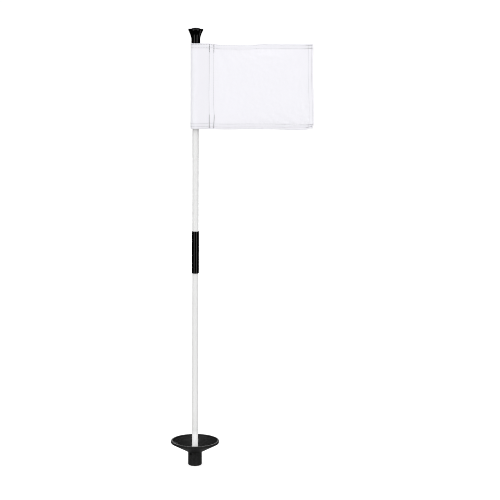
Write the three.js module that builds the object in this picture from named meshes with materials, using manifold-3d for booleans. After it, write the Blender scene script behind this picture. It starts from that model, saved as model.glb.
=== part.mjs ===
// A short two-piece golf flagstick with a dish that lifts the ball out of the cup.
// Millimetres, +Z up. The origin is the centre of the stem's flat foot, the rod
// stands along +Z and the flag flies along +X. All parts turn about the Z axis.

import * as THREE from 'three';
import { mergeVertices } from 'three/addons/utils/BufferGeometryUtils.js';
import Module from 'manifold-3d';

const wasm = await Module();
wasm.setup();

// ---------------------------------------------------------------- driving dimensions

const OVERALL_HEIGHT = 914;
const FIT_GAP = 0.3;

// Rod
const ROD_RADIUS = 12.7 / 2;
const ROD_EDGE = 0.4;
const ROD_FOOT = 6;
const ROD_TOP = 878.8;

// Dish and stem
const STEM_RADIUS = 14.5;
const STEM_CHAMFER = 1.4;
const STEM_TOP = 28.2;
const STEM_FILLET = 1.5;
const DISH_RADIUS = 50.6;
const DISH_TOP = 52.6;
const DISH_BAND = 4.6;
const DISH_WALL = 3.2;
const DISH_LIP_ROUND = 0.9;
const DISH_FLOOR_RADIUS = 9.5;

// Grub screw in the stem
const GRUB_RADIUS = 2;
const GRUB_HEIGHT = 25.8;
const GRUB_RECESS = 1.3;
const GRUB_TURN = THREE.MathUtils.degToRad(-125);
const GRUB_SOCKET_FLATS = 2;
const GRUB_SOCKET_DEPTH = 2.2;

// Joint ferrule
const FERRULE_RADIUS = 7.5;
const FERRULE_BOTTOM = 410;
const FERRULE_TOP = 498;
const FERRULE_EDGE = 0.5;
const FERRULE_WEB = 2;
const FERRULE_WEB_HOLE = 2.5;

// Threads are drawn as plain cylinders of the bolt's outer size
const BOLT_RADIUS = 5.8 / 2;
const BOLT_HOLE_RADIUS = BOLT_RADIUS + FIT_GAP;
const BOLT_HEAD_FLATS = 10;
const BOLT_HEAD_HEIGHT = 4;
const THREAD_ENGAGEMENT = 12;
const INSERT_WALL = 0.85;
const INSERT_LENGTH = 16;

// Flag tube and its bushings
const TUBE_RADIUS = 8.9;
const TUBE_WALL = 1.1;
const BUSHING_CLEARANCE = 0.4;
const BUSHING_LENGTH = 18;
const BUSHING_FLANGE = 1.4;
const BUSHING_WEB = 2.3;
const WASHER_RADIUS = 6;
const WASHER_THICKNESS = 1;

// Flag
const CLOTH = 0.8;
const FLAG_BOTTOM = 709.8;
const FLAG_TOP = 882.8;
const SEAM_START = 26.5;
const SEAM_END = 38;
const FLY_END = 240.4;
const FLY_HEM = 11.5;
const WAVE_DEPTH = 2.5;
const WAVE_COUNT = 1.15;

// Finial
const KNOB_RADIUS = 15.3;
const KNOB_NECK_RADIUS = 8.95;
const KNOB_TOP = 911.8;
const KNOB_RIM = 2.5;
const KNOB_EDGE = 0.6;
const KNOB_NECK_LENGTH = 7.8;
const CAP_RADIUS = 8.5;
const CAP_SEAT = 1.7;
const CAP_SIDE = 1;
const CAP_EDGE = 0.4;
const HEAD_POCKET_RADIUS = 6.4;
const HEAD_POCKET_FLOOR = 904.2;

// Facets
const DISH_FACETS = 64;
const KNOB_FACETS = 48;
const ROUND_FACETS = 32;
const SMALL_FACETS = 20;
const ARC_STEPS = 4;
const FLARE_STEPS = 7;

// ---------------------------------------------------------------- heights that follow

const TOP_WEB_BOTTOM = ROD_TOP + FIT_GAP;
const TOP_WEB_TOP = TOP_WEB_BOTTOM + BUSHING_WEB;
const TUBE_TOP = TOP_WEB_TOP - BUSHING_FLANGE - FIT_GAP;
const BOTTOM_FLANGE_BOTTOM = FLAG_BOTTOM + 0.4;
const TUBE_BOTTOM = BOTTOM_FLANGE_BOTTOM + BUSHING_FLANGE + FIT_GAP;
const WASHER_BOTTOM = TOP_WEB_TOP + FIT_GAP;
const KNOB_BOTTOM = WASHER_BOTTOM + WASHER_THICKNESS + FIT_GAP;
const INSERT_TOP = ROD_TOP - FIT_GAP;
const BOLT_END = INSERT_TOP - THREAD_ENGAGEMENT;
const FERRULE_MIDDLE = (FERRULE_BOTTOM + FERRULE_TOP) / 2;

// ---------------------------------------------------------------- materials

function plastic(color, roughness) {
  return new THREE.MeshStandardMaterial({ color, roughness, metalness: 0 });
}

function metal(color, roughness) {
  return new THREE.MeshStandardMaterial({ color, roughness, metalness: 1 });
}

// ---------------------------------------------------------------- shape helpers

// A point of a turned profile: distance from the axis, height.
function at(radius, height) {
  return new THREE.Vector2(radius, height);
}

// The points of a quarter-like arc about a centre, from one angle to another in degrees.
function arc(centreRadius, centreHeight, radius, fromDegrees, toDegrees, steps = ARC_STEPS) {
  const points = [];
  for (let i = 0; i <= steps; i++) {
    const turn = THREE.MathUtils.degToRad(fromDegrees + ((toDegrees - fromDegrees) * i) / steps);
    points.push(at(centreRadius + radius * Math.cos(turn), centreHeight + radius * Math.sin(turn)));
  }
  return points;
}

// Turns a profile about the Z axis. The profile runs anticlockwise in the radius-height
// plane and starts and ends on the axis.
function turned(points, facets) {
  return new THREE.LatheGeometry(points, facets).rotateX(Math.PI / 2);
}

// Turns a closed profile that stays off the axis.
function turnedRing(points, facets) {
  return turned([...points, points[0]], facets);
}

function ring(innerRadius, outerRadius, bottom, top, facets = ROUND_FACETS) {
  return turnedRing(
    [at(innerRadius, bottom), at(outerRadius, bottom), at(outerRadius, top), at(innerRadius, top)],
    facets,
  );
}

function toSolid(geometry) {
  const plain = geometry.clone();
  plain.deleteAttribute('normal');
  plain.deleteAttribute('uv');
  const merged = mergeVertices(plain, 1e-4);
  return new wasm.Manifold(new wasm.Mesh({
    numProp: 3,
    vertProperties: new Float32Array(merged.attributes.position.array),
    triVerts: new Uint32Array(merged.index.array),
  }));
}

function toGeometry(solid) {
  const mesh = solid.getMesh();
  const geometry = new THREE.BufferGeometry();
  geometry.setAttribute('position', new THREE.BufferAttribute(mesh.vertProperties, 3));
  geometry.setIndex(new THREE.BufferAttribute(mesh.triVerts, 1));
  geometry.computeVertexNormals();
  return geometry;
}

// A rod of any number of sides along +Z, from one height to another.
function upright(radius, bottom, top, facets) {
  const geometry = new THREE.CylinderGeometry(radius, radius, top - bottom, facets);
  return geometry.rotateX(Math.PI / 2).translate(0, 0, (bottom + top) / 2);
}

// The corner radius of a hexagon from its size across the flats.
function hexRadius(flats) {
  return flats / Math.sqrt(3);
}

function part(name, geometry, material) {
  const mesh = new THREE.Mesh(geometry, material);
  mesh.name = name;
  return mesh;
}

// Lays a piece built along +Z on the grub screw's axis, pointing out of the stem.
function onGrubAxis(geometry) {
  return geometry.rotateY(Math.PI / 2).rotateZ(GRUB_TURN).translate(0, 0, GRUB_HEIGHT);
}

// ---------------------------------------------------------------- lower section

function baseDish() {
  const bandBottom = DISH_TOP - DISH_BAND;
  const slope = (bandBottom - STEM_TOP) / (DISH_RADIUS - STEM_RADIUS);
  const lean = THREE.MathUtils.radToDeg(Math.atan(slope));
  const wallRise = DISH_WALL / Math.cos(Math.atan(slope));
  const innerHeight = (radius) => STEM_TOP + wallRise + (radius - STEM_RADIUS) * slope;
  const innerRadius = DISH_RADIUS - DISH_WALL;
  const socketRadius = ROD_RADIUS + FIT_GAP;

  // The fillet under the dish touches both the stem and the cone.
  const filletCentre = STEM_RADIUS + STEM_FILLET;
  const filletTurn = Math.tan(THREE.MathUtils.degToRad((90 - lean) / 2));
  const filletHeight = STEM_TOP - STEM_FILLET * filletTurn;

  const profile = [
    at(0, 0),
    at(STEM_RADIUS - STEM_CHAMFER, 0),
    at(STEM_RADIUS, STEM_CHAMFER),
    ...arc(filletCentre, filletHeight, STEM_FILLET, 180, 90 + lean),
    at(DISH_RADIUS, bandBottom),
    ...arc(DISH_RADIUS - DISH_LIP_ROUND, DISH_TOP - DISH_LIP_ROUND, DISH_LIP_ROUND, 0, 90),
    ...arc(innerRadius + DISH_LIP_ROUND, DISH_TOP - DISH_LIP_ROUND, DISH_LIP_ROUND, 90, 180),
    at(innerRadius, innerHeight(innerRadius)),
    at(DISH_FLOOR_RADIUS, innerHeight(DISH_FLOOR_RADIUS)),
    at(socketRadius, innerHeight(DISH_FLOOR_RADIUS)),
    at(socketRadius, ROD_FOOT - FIT_GAP),
    at(0, ROD_FOOT - FIT_GAP),
  ];
  const body = toSolid(turned(profile, DISH_FACETS));
  const hole = onGrubAxis(upright(GRUB_RADIUS + FIT_GAP, ROD_RADIUS, STEM_RADIUS + 5, SMALL_FACETS));
  return toGeometry(body.subtract(toSolid(hole)));
}

function grubScrew() {
  const tip = ROD_RADIUS + FIT_GAP;
  const end = STEM_RADIUS - GRUB_RECESS;
  const profile = [
    at(0, tip),
    at(GRUB_RADIUS - 0.5, tip),
    at(GRUB_RADIUS, tip + 0.5),
    at(GRUB_RADIUS, end - 0.3),
    at(GRUB_RADIUS - 0.3, end),
    at(0, end),
  ];
  const socket = upright(hexRadius(GRUB_SOCKET_FLATS), end - GRUB_SOCKET_DEPTH, end + 1, 6);
  const screw = toSolid(turned(profile, SMALL_FACETS)).subtract(toSolid(socket));
  return onGrubAxis(toGeometry(screw));
}

function lowerRod() {
  const top = FERRULE_MIDDLE - FERRULE_WEB / 2 - FIT_GAP;
  const profile = [
    at(0, ROD_FOOT),
    at(ROD_RADIUS - ROD_EDGE, ROD_FOOT),
    at(ROD_RADIUS, ROD_FOOT + ROD_EDGE),
    at(ROD_RADIUS, top - ROD_EDGE),
    at(ROD_RADIUS - ROD_EDGE, top),
    at(0, top),
  ];
  return turned(profile, ROUND_FACETS);
}

// A sleeve with a web half way along, on which both rods stop.
function jointFerrule() {
  const socketRadius = ROD_RADIUS + FIT_GAP;
  const webBottom = FERRULE_MIDDLE - FERRULE_WEB / 2;
  const webTop = FERRULE_MIDDLE + FERRULE_WEB / 2;
  const profile = [
    at(socketRadius, FERRULE_BOTTOM),
    at(FERRULE_RADIUS - FERRULE_EDGE, FERRULE_BOTTOM),
    at(FERRULE_RADIUS, FERRULE_BOTTOM + FERRULE_EDGE),
    at(FERRULE_RADIUS, FERRULE_TOP - FERRULE_EDGE),
    at(FERRULE_RADIUS - FERRULE_EDGE, FERRULE_TOP),
    at(socketRadius, FERRULE_TOP),
    at(socketRadius, webTop),
    at(FERRULE_WEB_HOLE, webTop),
    at(FERRULE_WEB_HOLE, webBottom),
    at(socketRadius, webBottom),
  ];
  return turnedRing(profile, ROUND_FACETS);
}

// ---------------------------------------------------------------- upper section

function upperRod() {
  const bottom = FERRULE_MIDDLE + FERRULE_WEB / 2 + FIT_GAP;
  const holeRadius = BOLT_HOLE_RADIUS + INSERT_WALL + FIT_GAP;
  const holeFloor = INSERT_TOP - INSERT_LENGTH - FIT_GAP;
  const profile = [
    at(0, bottom),
    at(ROD_RADIUS - ROD_EDGE, bottom),
    at(ROD_RADIUS, bottom + ROD_EDGE),
    at(ROD_RADIUS, ROD_TOP - ROD_EDGE),
    at(ROD_RADIUS - ROD_EDGE, ROD_TOP),
    at(holeRadius, ROD_TOP),
    at(holeRadius, holeFloor),
    at(0, holeFloor),
  ];
  return turned(profile, ROUND_FACETS);
}

function rodTopInsert() {
  const outerRadius = BOLT_HOLE_RADIUS + INSERT_WALL;
  return ring(BOLT_HOLE_RADIUS, outerRadius, INSERT_TOP - INSERT_LENGTH, INSERT_TOP);
}

// ---------------------------------------------------------------- flag

function flagTube() {
  return ring(TUBE_RADIUS - TUBE_WALL, TUBE_RADIUS, TUBE_BOTTOM, TUBE_TOP);
}

// A flanged bush in the tube's lower end, running on the rod.
function tubeBottomBushing() {
  const inner = ROD_RADIUS + BUSHING_CLEARANCE;
  const outer = TUBE_RADIUS - TUBE_WALL - FIT_GAP;
  const flangeTop = BOTTOM_FLANGE_BOTTOM + BUSHING_FLANGE;
  const profile = [
    at(inner, BOTTOM_FLANGE_BOTTOM),
    at(TUBE_RADIUS, BOTTOM_FLANGE_BOTTOM),
    at(TUBE_RADIUS, flangeTop),
    at(outer, flangeTop),
    at(outer, BOTTOM_FLANGE_BOTTOM + BUSHING_LENGTH),
    at(inner, BOTTOM_FLANGE_BOTTOM + BUSHING_LENGTH),
  ];
  return turnedRing(profile, ROUND_FACETS);
}

// A flanged bush in the tube's upper end. Its web rests on the end of the rod and
// carries the flag, and the bolt passes through it.
function tubeTopBushing() {
  const inner = ROD_RADIUS + BUSHING_CLEARANCE;
  const outer = TUBE_RADIUS - TUBE_WALL - FIT_GAP;
  const flangeBottom = TOP_WEB_TOP - BUSHING_FLANGE;
  const bottom = TOP_WEB_TOP - BUSHING_LENGTH;
  const profile = [
    at(inner, bottom),
    at(outer, bottom),
    at(outer, flangeBottom),
    at(TUBE_RADIUS, flangeBottom),
    at(TUBE_RADIUS, TOP_WEB_TOP),
    at(BOLT_HOLE_RADIUS, TOP_WEB_TOP),
    at(BOLT_HOLE_RADIUS, TOP_WEB_BOTTOM),
    at(inner, TOP_WEB_BOTTOM),
  ];
  return turnedRing(profile, ROUND_FACETS);
}

// The depth of the flag's slow wave at a distance along it.
function wave(x) {
  const along = (x - SEAM_END) / (FLY_END - SEAM_END);
  return WAVE_DEPTH * along * Math.sin(2 * Math.PI * WAVE_COUNT * along);
}

// One cloth: a sleeve round the tube, a doubled seam, a single panel and a fly hem.
// It is drawn in plan and stands up by the flag's height.
function flagCloth() {
  const inner = TUBE_RADIUS + FIT_GAP;
  const outer = inner + CLOTH;
  const taper = Math.asin(inner / SEAM_START);
  const sideStart = Math.PI / 2 - taper;
  const panelSteps = 24;

  const plan = new THREE.Shape();
  plan.absarc(0, 0, outer, sideStart, 2 * Math.PI - sideStart, false);
  const front = [];
  const back = [];
  for (let i = 0; i <= panelSteps; i++) {
    const x = SEAM_END + ((FLY_END - SEAM_END) * i) / panelSteps;
    front.push(at(x, wave(x) - CLOTH));
    back.push(at(x, wave(x)));
  }
  const seamEdge = (outer - CLOTH * Math.cos(taper)) / Math.sin(taper);
  plan.lineTo(seamEdge, -CLOTH);
  front.forEach((point) => plan.lineTo(point.x, point.y));
  const hemStart = FLY_END - FLY_HEM;
  plan.lineTo(FLY_END, wave(FLY_END) + CLOTH);
  plan.lineTo(hemStart, wave(hemStart) + CLOTH);
  back.reverse().filter((point) => point.x < hemStart).forEach((point) => plan.lineTo(point.x, point.y));
  plan.lineTo(SEAM_END, CLOTH);
  plan.lineTo(seamEdge, CLOTH);
  plan.closePath();

  const pocket = new THREE.Path();
  pocket.absarc(0, 0, inner, 2 * Math.PI - sideStart, sideStart, true);
  pocket.lineTo(SEAM_START, 0);
  pocket.closePath();
  plan.holes.push(pocket);

  const height = FLAG_TOP - FLAG_BOTTOM;
  const settings = { depth: height, bevelEnabled: false, curveSegments: 24 };
  return new THREE.ExtrudeGeometry(plan, settings).translate(0, 0, FLAG_BOTTOM);
}

// ---------------------------------------------------------------- finial

function finialKnob() {
  const flare = new THREE.QuadraticBezierCurve(
    at(KNOB_NECK_RADIUS, KNOB_BOTTOM + KNOB_NECK_LENGTH),
    at(KNOB_NECK_RADIUS + 0.25, KNOB_BOTTOM + KNOB_NECK_LENGTH + 6.5),
    at(KNOB_RADIUS, KNOB_TOP - KNOB_RIM),
  );
  const capRecess = CAP_RADIUS + FIT_GAP;
  const capFloor = KNOB_TOP - CAP_SEAT - FIT_GAP;
  const profile = [
    at(BOLT_HOLE_RADIUS, KNOB_BOTTOM),
    at(KNOB_NECK_RADIUS - KNOB_EDGE, KNOB_BOTTOM),
    at(KNOB_NECK_RADIUS, KNOB_BOTTOM + KNOB_EDGE),
    ...flare.getPoints(FLARE_STEPS),
    at(KNOB_RADIUS, KNOB_TOP - KNOB_EDGE),
    at(KNOB_RADIUS - KNOB_EDGE, KNOB_TOP),
    at(capRecess, KNOB_TOP),
    at(capRecess, capFloor),
    at(HEAD_POCKET_RADIUS, capFloor),
    at(HEAD_POCKET_RADIUS, HEAD_POCKET_FLOOR),
    at(BOLT_HOLE_RADIUS, HEAD_POCKET_FLOOR),
  ];
  return turnedRing(profile, KNOB_FACETS);
}

function finialBolt() {
  const headBottom = HEAD_POCKET_FLOOR + FIT_GAP;
  const headTop = headBottom + BOLT_HEAD_HEIGHT;
  const tipChamfer = 0.6;
  const shank = [
    at(0, BOLT_END),
    at(BOLT_RADIUS - tipChamfer, BOLT_END),
    at(BOLT_RADIUS, BOLT_END + tipChamfer),
    at(BOLT_RADIUS, headBottom + 1),
    at(0, headBottom + 1),
  ];
  const head = upright(hexRadius(BOLT_HEAD_FLATS), headBottom, headTop, 6);
  return toGeometry(toSolid(turned(shank, ROUND_FACETS)).add(toSolid(head)));
}

function finialWasher() {
  return ring(BOLT_HOLE_RADIUS, WASHER_RADIUS, WASHER_BOTTOM, WASHER_BOTTOM + WASHER_THICKNESS);
}

// A plug that stands above the knob's rim, with a short side and a shallow dome.
function finialCap() {
  const domeEdge = CAP_RADIUS - CAP_EDGE;
  const rise = OVERALL_HEIGHT - KNOB_TOP - CAP_SIDE;
  const domeRadius = (domeEdge * domeEdge + rise * rise) / (2 * rise);
  const halfTurn = THREE.MathUtils.radToDeg(Math.asin(domeEdge / domeRadius));
  const profile = [
    at(0, KNOB_TOP - CAP_SEAT),
    at(CAP_RADIUS, KNOB_TOP - CAP_SEAT),
    at(CAP_RADIUS, KNOB_TOP + CAP_SIDE - CAP_EDGE),
    ...arc(0, OVERALL_HEIGHT - domeRadius, domeRadius, 90 - halfTurn, 90, 6),
  ];
  profile[profile.length - 1].x = 0;
  return turned(profile, KNOB_FACETS);
}

// ---------------------------------------------------------------- assembly

const basePlastic = plastic(0x272728, 0.55);
const glossBlack = plastic(0x0a0a0b, 0.12);
const fibreglass = plastic(0xe6e6e5, 0.35);
const whiteTube = plastic(0xeeeeec, 0.4);
const nylonBush = plastic(0xe2e0d8, 0.5);
const flagNylon = plastic(0xf6f5fa, 0.75);
const brass = metal(0xc9a24a, 0.3);
const steel = metal(0xb9bcc0, 0.3);
const darkSteel = metal(0x2e2e30, 0.4);

const lowerSection = new THREE.Group();
lowerSection.add(
  part('base_dish', baseDish(), basePlastic),
  part('base_grub_screw', grubScrew(), darkSteel),
  part('lower_rod', lowerRod(), fibreglass),
  part('joint_ferrule', jointFerrule(), glossBlack.clone()),
);

const upperSection = new THREE.Group();
upperSection.add(
  part('upper_rod', upperRod(), fibreglass.clone()),
  part('rod_top_insert', rodTopInsert(), brass),
);

const flag = new THREE.Group();
flag.add(
  part('flag_tube', flagTube(), whiteTube),
  part('tube_bottom_bushing', tubeBottomBushing(), nylonBush),
  part('tube_top_bushing', tubeTopBushing(), nylonBush.clone()),
  part('flag_cloth', flagCloth(), flagNylon),
);

const finial = new THREE.Group();
finial.add(
  part('finial_washer', finialWasher(), steel),
  part('finial_bolt', finialBolt(), steel.clone()),
  part('finial_knob', finialKnob(), glossBlack),
  part('finial_cap', finialCap(), glossBlack.clone()),
);

const flagstick = new THREE.Group();
flagstick.add(lowerSection, upperSection, flag, finial);

export default flagstick;
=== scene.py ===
"""A golf flagstick: a white fibreglass rod with a flared black finial, a white nylon flag on a
swivelling tube, a black joint ferrule, and a dark dish at the foot that lifts the ball."""

import math

import bmesh
import bpy
import numpy as np
from mathutils import Matrix, Vector


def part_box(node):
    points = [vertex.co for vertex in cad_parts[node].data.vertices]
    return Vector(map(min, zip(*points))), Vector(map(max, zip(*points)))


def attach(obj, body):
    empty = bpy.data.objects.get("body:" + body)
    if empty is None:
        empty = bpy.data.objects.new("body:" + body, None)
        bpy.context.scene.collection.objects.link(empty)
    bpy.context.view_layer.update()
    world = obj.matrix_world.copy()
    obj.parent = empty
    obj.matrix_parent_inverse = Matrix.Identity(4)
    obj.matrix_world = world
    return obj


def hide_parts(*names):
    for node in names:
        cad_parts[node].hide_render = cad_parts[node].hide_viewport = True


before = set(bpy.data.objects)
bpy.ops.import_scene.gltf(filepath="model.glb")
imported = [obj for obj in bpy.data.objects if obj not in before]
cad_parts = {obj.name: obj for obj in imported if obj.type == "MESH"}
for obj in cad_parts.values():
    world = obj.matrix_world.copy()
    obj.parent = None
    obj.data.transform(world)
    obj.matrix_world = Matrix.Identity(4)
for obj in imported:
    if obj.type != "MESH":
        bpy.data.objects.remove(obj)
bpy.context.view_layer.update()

MM = 0.001
FULL_TURN = 2 * math.pi

# ---------------------------------------- sizes that Blender adds

ROUND_STEPS = 5
TURN_STEPS = 96
GAP = 0.3 * MM            # between pieces that are bonded or pressed together
BOLT_HEAD_BOTTOM = 904.5 * MM

CLOTH = 0.2 * MM          # the nylon's thickness
PLY = 0.34 * MM           # from one folded layer to the next
HEAD_HEM = 10 * MM
FOOT_HEM = 12 * MM
FLY_HEM = 11.5 * MM
HEAD_ROWS = (2.2 * MM, 8.7 * MM)   # each hem's two rows of stitches, from the finished edge
FOOT_ROWS = (4.6 * MM, 10.5 * MM)
FLY_ROWS = (3.4 * MM, 10 * MM)
SEAM_ROWS = (27.6 * MM, 36.5 * MM)
SEAM_END = 38 * MM
STITCH = 3.4 * MM
THREAD_RADIUS = 0.2 * MM
SEAM_BACKTACKS = (26 * MM, 16 * MM)  # the doubled sewing at the seam's foot and head
FLY_BACKTACK = 13 * MM
BACKTACK_ASIDE = (-0.36 * MM, 0.36 * MM, 0.72 * MM)
PRESS_DEPTH = 0.06 * MM
PRESS_WIDTH = 0.75 * MM
PUCKER = 0.15 * MM
PUCKER_REACH = 4.5 * MM
PUCKER_ENDS = 12 * MM

# Each seam row's drift along X, and the part of its height that it drifts in.
SEAM_DRIFTS = ((-0.6 * MM, 0.2, 0.65), (1.2 * MM, 0.0, 0.3))

TOP_DIP = 2.2 * MM        # how far the cloth's edges bow
FOOT_DROP = 0.3 * MM
FOOT_SAG = 0.9 * MM
FLY_SAG = 1.4 * MM
CORNER_LIFT = 3.5 * MM
FLY_BELLY = 3.2 * MM

LENS = 120.73
CAMERA_PLACE = (0.1129, -3.42, 1.02)
CAMERA_DOWN = 9.311       # degrees below level
CAMERA_ROLL = 0.416

FRONT_SWING = 36          # degrees to each side of the camera
FRONT_REACH = 1.6
FRONT_RADIANCE = 1.3
TOP_RADIANCE = 3
BACK_RADIANCE = 4.2
KEY_RADIANCE = 4
FILL_HORIZON = 0.3
FILL_ZENITH = 2.0
BOUNCE_RADIANCE = 0.32
FLOOR_GLOW = 0.78

rng = np.random.default_rng(11)


def smooth(x):
    """Rises smoothly from 0 to 1 as x does."""
    t = np.clip(x, 0, 1)
    return t * t * (3 - 2 * t)


def ramp(x, start, run):
    """Rises smoothly from 0 to 1 as x goes on from start over the run."""
    return smooth((x - start) / run)


# ---------------------------------------- mesh helpers


def mesh_object(name, points, faces):
    """A smooth-shaded mesh object at the origin, with its faces turned outwards."""
    mesh = bpy.data.meshes.new(name)
    mesh.from_pydata([tuple(p) for p in points], [], [tuple(f) for f in faces])
    made = bpy.data.objects.new(name, mesh)
    bpy.context.scene.collection.objects.link(made)
    work = bmesh.new()
    work.from_mesh(mesh)
    bmesh.ops.recalc_face_normals(work, faces=work.faces)
    work.to_mesh(mesh)
    work.free()
    mesh.shade_smooth()
    return made


def rounded(corners, closed):
    """A profile of (radius, height, rounding) corners, with each corner turned into an arc."""
    line = []
    count = len(corners)
    for i, (radius, height, rounding) in enumerate(corners):
        here = np.array((radius, height))
        if rounding == 0 or (not closed and i in (0, count - 1)):
            line.append(here)
            continue
        before = np.array(corners[i - 1][:2]) - here
        after = np.array(corners[(i + 1) % count][:2]) - here
        before, after = before / np.linalg.norm(before), after / np.linalg.norm(after)
        half = math.acos(np.clip(before @ after, -1, 1)) / 2
        reach = rounding / math.tan(half)
        middle = (before + after) / np.linalg.norm(before + after)
        centre = here + middle * rounding / math.sin(half)
        start, end = here + before * reach, here + after * reach
        first = math.atan2(*(start - centre)[::-1])
        turn = math.atan2(*(end - centre)[::-1]) - first
        turn = (turn + math.pi) % FULL_TURN - math.pi
        line.append(here + before * reach * 1.3)
        for step in range(ROUND_STEPS + 1):
            angle = first + turn * step / ROUND_STEPS
            line.append(centre + rounding * np.array((math.cos(angle), math.sin(angle))))
        line.append(here + after * reach * 1.3)
    return line


def turned(name, corners, closed=True, steps=TURN_STEPS):
    """Turns a rounded profile about Z. An open profile starts and ends on the axis."""
    line = rounded(corners, closed)
    ends = [] if closed else [line[0], line[-1]]
    rings = line if closed else line[1:-1]
    angles = np.arange(steps) * FULL_TURN / steps
    points = [
        (r * math.cos(a), r * math.sin(a), z) for r, z in rings for a in angles
    ]
    faces = []
    pairs = len(rings) if closed else len(rings) - 1
    for i in range(pairs):
        low, high = i * steps, (i + 1) % len(rings) * steps
        for j in range(steps):
            k = (j + 1) % steps
            faces.append((low + j, low + k, high + k, high + j))
    if ends:
        points += [(0, 0, ends[0][1]), (0, 0, ends[1][1])]
        start, end, last = len(points) - 2, len(points) - 1, (len(rings) - 1) * steps
        for j in range(steps):
            k = (j + 1) % steps
            faces.append((start, k, j))
            faces.append((end, last + j, last + k))
    return mesh_object(name, points, faces)


def sleeve(name, inner, outer, low, high, ease):
    """A plain sleeve or washer with its four edges eased."""
    ends = ((inner, low), (outer, low), (outer, high), (inner, high))
    return turned(name, [(radius, z, ease) for radius, z in ends])


def plug(name, bottom, top, radius, top_radius=None, sides=48):
    """A solid plug about Z: a cylinder, or a cone if its top has another radius."""
    if top_radius is None:
        top_radius = radius
    corners = [(0, bottom, 0), (radius, bottom, 0), (top_radius, top, 0), (0, top, 0)]
    return turned(name, corners, False, sides)


def cut(piece, tools):
    """Cuts the tools out of a piece, and removes them."""
    for tool in tools:
        modifier = piece.modifiers.new("cut", "BOOLEAN")
        modifier.operation = "DIFFERENCE"
        modifier.solver = "EXACT"
        modifier.object = tool
    bpy.context.view_layer.update()
    shape = piece.evaluated_get(bpy.context.evaluated_depsgraph_get())
    mesh = bpy.data.meshes.new_from_object(shape)
    piece.modifiers.clear()
    piece.data = mesh
    for tool in tools:
        bpy.data.objects.remove(tool)
    mesh.set_sharp_from_angle(angle=math.radians(35))


def finished(piece, body, slot, material, *nodes):
    """Gives a piece its material and its body, and hides the CAD nodes that it stands for. The slot
    is not used.
    """
    piece.data.materials.clear()
    piece.data.materials.append(material)
    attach(piece, body)
    if nodes:
        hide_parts(*nodes)
    return piece


# ---------------------------------------- material helpers


def feed(tree, target, inputs):
    """Sets the inputs of a shader node to values, or to the sockets that feed them."""
    for key, value in inputs.items():
        if isinstance(value, bpy.types.NodeSocket):
            tree.links.new(value, target.inputs[key])
        else:
            target.inputs[key].default_value = value


def node(tree, kind, inputs=None, **settings):
    """Adds a shader node with these inputs and settings."""
    made = tree.nodes.new("ShaderNode" + kind)
    for key, value in settings.items():
        setattr(made, key, value)
    feed(tree, made, inputs or {})
    return made


def maths(tree, operation, a, b=0.5):
    return node(tree, "Math", {0: a, 1: b}, operation=operation).outputs[0]


def between(tree, value, low, high, start=0.0, end=1.0):
    """Maps a value from start to end onto low to high, and holds it at those beyond them."""
    inputs = {"Value": value, "From Min": start, "From Max": end, "To Min": low, "To Max": high}
    return node(tree, "MapRange", inputs).outputs[0]


def mixed(tree, factor, a, b):
    """A colour between a and b."""
    return node(tree, "Mix", {0: factor, 6: a, 7: b}, data_type="RGBA").outputs[2]


def noise(tree, place, size, detail=3.0, stretch=(1, 1, 1)):
    """Noise with features of a real size in metres, stretched along the axes."""
    scale = [1 / (size * s) for s in stretch]
    inputs = {"Vector": place, "Scale": scale}
    moved = node(tree, "Mapping", inputs, vector_type="POINT").outputs[0]
    return node(tree, "TexNoise", {"Vector": moved, "Scale": 1.0, "Detail": detail}).outputs[0]


def bump(tree, height, distance, strength=1.0, normal=None):
    inputs = {"Height": height, "Distance": distance, "Strength": strength}
    if normal:
        inputs["Normal"] = normal
    return node(tree, "Bump", inputs).outputs[0]


def grey(value, tint=0.0):
    """A grey, with its blue raised and its red and green lowered by the tint."""
    return (value * (1 - tint), value * (1 - tint), value * (1 + tint), 1)


def principled(name, color, roughness):
    """A new material. Returns it, its tree, its shader and the object coordinates."""
    material = bpy.data.materials.new(name)
    material.use_nodes = True
    tree = material.node_tree
    shader = tree.nodes["Principled BSDF"]
    feed(tree, shader, {"Base Color": color, "Roughness": roughness})
    place = node(tree, "TexCoord").outputs["Object"]
    return material, tree, shader, place


# ---------------------------------------- materials


def dish_plastic():
    """Dark moulded plastic: fine spark-eroded grain, dull and shiny patches, and a rim lightened
    partly by scuff wear and partly as a painted highlight.
    """
    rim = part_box("base_dish")[1].z
    material, tree, shader, place = principled("dark_moulded_plastic", grey(0.009), 0.5)
    patches = noise(tree, place, 5 * MM, 5)
    grain = noise(tree, place, 0.35 * MM, 2)
    scuffs = noise(tree, place, 1.6 * MM, 5, (1, 1, 0.4))
    height = node(tree, "SeparateXYZ", {0: place}).outputs["Z"]
    at_rim = between(tree, height, 0.0, 1.0, rim - 1.2 * MM, rim)
    # The rim's lighter colour is partly real scuff wear and partly a painted highlight along the lip.
    rim_wear_and_painted_highlight = maths(tree, "MAXIMUM", between(tree, scuffs, -0.5, 1.5), 0.0)
    rim_wear_and_painted_highlight = maths(tree, "MULTIPLY", rim_wear_and_painted_highlight, at_rim)
    color = mixed(tree, between(tree, patches, -0.5, 1.5), grey(0.005), grey(0.0165))
    feed(tree, shader, {
        "Base Color": mixed(tree, rim_wear_and_painted_highlight, color, grey(0.045)),
        "Roughness": between(tree, patches, 0.4, 0.58),
        "Normal": bump(tree, grain, 0.05 * MM, 0.5),
        "Specular IOR Level": 0.22,
    })
    return material


def black_gloss(name):
    """Polished black plastic: faint moulding ripple, hairline scratches, finger smudges."""
    material, tree, shader, place = principled(name, grey(0.0015), 0.1)
    smudge = noise(tree, place, 7 * MM, 3)
    hairs = noise(tree, place, 0.25 * MM, 3, (1, 1, 40))
    waves = bump(tree, noise(tree, place, 3 * MM, 1), 0.02 * MM, 0.35)
    rough, scratched = between(tree, smudge, 0.05, 0.15), between(tree, hairs, -0.02, 0.03)
    feed(tree, shader, {
        "Roughness": maths(tree, "ADD", rough, scratched),
        "Normal": bump(tree, hairs, 0.004 * MM, 0.5, waves),
    })
    return material


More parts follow.
